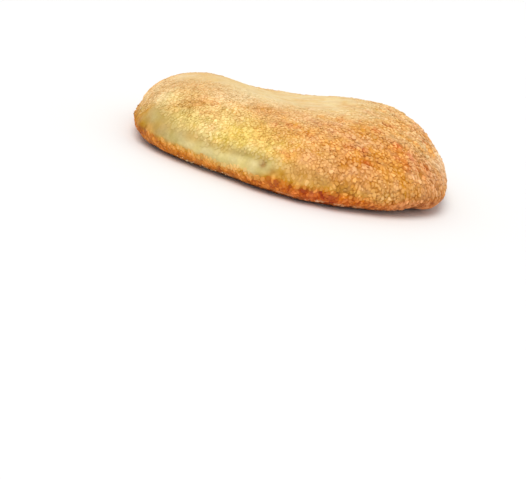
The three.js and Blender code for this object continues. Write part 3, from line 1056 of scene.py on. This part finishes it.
OCTAHEDRON = np.array(
    [[1, 0, 0], [-1, 0, 0], [0, 1, 0], [0, -1, 0], [0, 0, 1], [0, 0, -1]], float
)
OCTAHEDRON_FACES = np.array(
    [[0, 2, 4], [2, 1, 4], [1, 3, 4], [3, 0, 4], [2, 0, 5], [1, 2, 5], [3, 1, 5], [0, 3, 5]]
)
def grains(name, p, nrm, size, sunk, tone, material, corners, corner_faces, uneven, smooth):
    """Angular grains of that mean size, lying on the skin and sunk into it by that share."""
    count, k = len(p), len(corners)
    level, slope = frame_of(nrm)
    turn = np.where(
        rng.random(count) < 0.8 * combed(p),
        rng.normal(np.pi / 2, 0.4, count),
        rng.uniform(0, np.pi, count),
    )[:, None]
    side = level * np.cos(turn) + slope * np.sin(turn)
    other = np.cross(nrm, side)
    length = size * rng.uniform(1.0, 1.4, count) / 2
    width = size * rng.uniform(0.78, 1.0, count) / 2
    height = size * rng.uniform(0.5, 0.8, count) / 2
    shape = corners[None] * rng.uniform(1 - uneven, 1 + uneven, (count, k, 1))
    shape = shape + rng.uniform(-uneven, uneven, (count, k, 3)) * 0.6
    lean = rng.normal(0, 0.3, (count, 2))
    up = nrm + side * lean[:, :1] + other * lean[:, 1:]
    up /= np.linalg.norm(up, axis=1)[:, None]
    verts = (
        shape[..., :1] * (side * length[:, None])[:, None]
        + shape[..., 1:2] * (other * width[:, None])[:, None]
        + shape[..., 2:] * (up * height[:, None])[:, None]
    )
    verts = verts + (p + nrm * (height * (1 - 2 * sunk))[:, None])[:, None]
    low = verts[..., 2].min(1)
    verts[..., 2] += np.maximum(0.01 - low, 0)[:, None]
    faces = corner_faces[None] + (np.arange(count) * k)[:, None, None]
    return make_piece(
        name,
        verts.reshape(-1, 3),
        faces.reshape(-1, 3),
        np.repeat(tone, k, 0),
        material,
        smooth,
    )


def keep_coarse(p, s, angle):
    soft = smoothness(zones(p, s, angle))
    clear = ramp(crack_distance(p), 0.55, 1.0)
    return ramp(soft, 0.8, 0.3) * clear * np.where(s < -0.98, 0.0, 1.0)


def keep_fine(p, s, angle):
    soft = smoothness(zones(p, s, angle))
    clear = ramp(crack_distance(p), 0.3, 0.5)
    share = 0.35 + 0.65 * ramp(soft, 0.1, 0.4)
    return share * (1 - 0.7 * soft) * clear * np.where(s < -0.98, 0.0, 1.0)


spots = scatter(140000, 1.0, keep_coarse)
# leaving some out at random makes their neighbours wider, most of all on the right
left_out = 0.16 + 0.2 * ramp(spots[0][:, 0], -15, 25)
stay = rng.random(len(spots[0])) > left_out
cp, cn, cs, ca = (values[stay] for values in spots)
fp, fn, fs, fa = scatter(150000, 0.64, keep_fine, [(cp, 0.62)])
bp, bn, bs, ba = scatter(26000, 0.95, lambda p, s, a: np.where(s < -0.97, 1.0, 0.0))

coarse_zones = zones(cp, cs, ca)
coarse_soft = smoothness(coarse_zones)
size = rng.uniform(1.2, 2.2, len(cp)) * (1 - 0.2 * coarse_soft)
height = 0.4 + 0.18 * noise(cp, 2.4, 94) + rng.uniform(-0.1, 0.1, len(cp))
height = height + ramp(cs, 0.3, 0.6) * rng.uniform(-0.1, 0.35, len(cp))
height = height * (1 - 0.8 * coarse_soft) * (1 - 0.34 * gentle(cp))
spread = 0.024 - 0.009 * gentle(cp)
coarse_tone = lighten(tone_of(cp, cs, ca), 0.004 + spread * rng.normal(size=len(cp)))
coarse_tone *= (GRAIN + (SMOOTH - GRAIN) * coarse_soft**0.6)[:, None]
chance = rng.random(len(cp))
light = 0.24 * (1 - np.clip(coarse_zones["rim"] + 0.8 * coarse_zones["ochre"], 0, 1))
brown = 0.2 + 0.2 * coarse_zones["rim"]
kind = np.where(chance < light, 0, np.where(chance > 1 - brown, 2, 1))
PALE_GRAIN = linear(250, 222, 166)
TOASTED = linear(212, 138, 72)
pieces = []
for k, (name, colour, amount, roughness) in enumerate(
    (
        ("grains_pale", PALE_GRAIN, 0.09, 0.5),
        ("grains_golden", None, 0.0, 0.6),
        ("grains_toasted", TOASTED, 0.16, 0.66),
    )
):
    m = kind == k
    tone = coarse_tone
    if colour is not None:
        tone = mix(tone, colour, amount * (1 - 0.7 * coarse_soft))
    pieces.append(
        packed_grains(
            name, m, cp, cn, size, height, tone, grain_material(name, roughness, 1600)
        )
    )
fine_soft = smoothness(zones(fp, fs, fa))
fine_tone = lighten(tone_of(fp, fs, fa), 0.018 * rng.normal(size=len(fp)) * (1 - 0.5 * fine_soft))
# fine grains among the coarse ones are painted darker, as painted shade in the gaps; where the crust is smooth they
# take its plain tone
fine_tone *= (0.91 + (SMOOTH - 0.91) * fine_soft)[:, None]
fine_size = rng.uniform(0.4, 0.7, len(fp))
fine_sunk = 0.45 + 0.35 * fine_soft
half = rng.random(len(fp)) < 0.5
for name, m, roughness in (("grains_fine", half, 0.62), ("grains_dust", ~half, 0.7)):
    pieces.append(
        grains(
            name, fp[m], fn[m], fine_size[m], fine_sunk[m], fine_tone[m],
            grain_material(name, roughness, 2200), OCTAHEDRON, OCTAHEDRON_FACES, 0.25, False,
        )
    )
under_tone = tone_of(bp, bs, ba) * (1 + 0.14 * rng.normal(size=len(bp)))[:, None]
pieces.append(
    grains(
        "grains_base", bp, bn, rng.uniform(0.8, 1.2, len(bp)), np.full(len(bp), 0.5), under_tone,
        grain_material("grains_base", 0.66, 1600), OCTAHEDRON, OCTAHEDRON_FACES, 0.25, False,
    )
)

# a few pale crumbs cling to the bottom edge
draw = np.random.default_rng(11)
crumb_a, crumb_s = np.radians(draw.uniform(224, 246, 30)), draw.uniform(-0.8, -0.5, 30)
up_slope = skin(crumb_s + 1e-3, crumb_a) - skin(crumb_s - 1e-3, crumb_a)
crumb_n = np.cross(skin(crumb_s, crumb_a + 1e-3) - skin(crumb_s, crumb_a - 1e-3), up_slope)
crumb_n /= np.linalg.norm(crumb_n, axis=1)[:, None]
pieces.append(
    grains(
        "crumbs", skin(crumb_s, crumb_a) - GRAIN_ROOM * crumb_n, crumb_n,
        draw.uniform(0.6, 1.1, 30), np.full(30, 0.3), np.repeat(PALE_GRAIN[None], 30, 0),
        grain_material("crumbs", 0.6, 1600), OCTAHEDRON, OCTAHEDRON_FACES, 0.25, False,
    )
)

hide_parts("loaf")
for piece in [body, *pieces]:
    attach(piece, "root")
print({p.name: len(p.data.polygons) for p in [body, *pieces]})

# ----------------------------------------------------------------- floor and light
floor_mesh = bpy.data.meshes.new("floor")
floor_mesh.from_pydata(
    [(-6, -6, -0.0001), (6, -6, -0.0001), (6, 6, -0.0001), (-6, 6, -0.0001)], [], [(0, 1, 2, 3)]
)
floor = bpy.data.objects.new("floor", floor_mesh)
bpy.context.scene.collection.objects.link(floor)
fm, fnodes, flinks = new_material("floor")
fout = fnodes.new("ShaderNodeOutputMaterial")
fb = fnodes.new("ShaderNodeBsdfPrincipled")
flinks.new(fb.outputs[0], fout.inputs[0])
fb.inputs["Base Color"].default_value = (0.82, 0.82, 0.815, 1)
fb.inputs["Roughness"].default_value = 0.7
fb.inputs["Specular IOR Level"].default_value = 0.2
floor_mesh.materials.append(fm)

world = bpy.data.worlds.new("studio")
bpy.context.scene.world = world
world.use_nodes = True
world.node_tree.nodes["Background"].inputs[0].default_value = (1, 1, 1, 1)
world.node_tree.nodes["Background"].inputs[1].default_value = 0.78


def sun(name, direction, strength, angle, colour=(1, 1, 1)):
    lamp = bpy.data.lights.new(name, "SUN")
    lamp.energy = strength
    lamp.angle = math.radians(angle)
    lamp.color = colour
    o = bpy.data.objects.new(name, lamp)
    o.rotation_euler = Vector(direction).to_track_quat("-Z", "Y").to_euler()
    bpy.context.scene.collection.objects.link(o)


sun("key", (0.22, 0.42, -1.0), 1.72, 40, (1.0, 0.99, 0.975))

# -------------------------------------------------------------------------- camera
LENS, SENSOR, WIDTH = 85.0, 36.0, 526
DISTANCE, TARGET = 0.57933, Vector((0.00081, -0.0029, 0.01159))
ELEVATION, ROLL = math.radians(12.78), math.radians(13.76)
PLACE = (30.86, 100.92)   # where the target stands, in pixels right of and above the middle
back = Vector((0, -math.cos(ELEVATION), math.sin(ELEVATION)))
right = Vector((1, 0, 0))
up = back.cross(right)
across = math.cos(ROLL) * right + math.sin(ROLL) * up
above = -math.sin(ROLL) * right + math.cos(ROLL) * up
turned = Matrix((across, above, back)).transposed()
seen = Vector((PLACE[0], PLACE[1], -LENS / SENSOR * WIDTH)).normalized()
turned = turned @ seen.rotation_difference(Vector((0, 0, -1))).to_matrix()
camera_data = bpy.data.cameras.new("camera")
camera_data.lens = LENS
camera_data.sensor_width = SENSOR
camera_data.clip_start = 0.01
camera_data.clip_end = 50
camera = bpy.data.objects.new("camera", camera_data)
camera.matrix_world = Matrix.Translation(TARGET + back * DISTANCE) @ turned.to_4x4()
bpy.context.scene.collection.objects.link(camera)
bpy.context.scene.camera = camera

bpy.context.scene.view_settings.view_transform = "Standard"
bpy.context.scene.view_settings.look = "None"
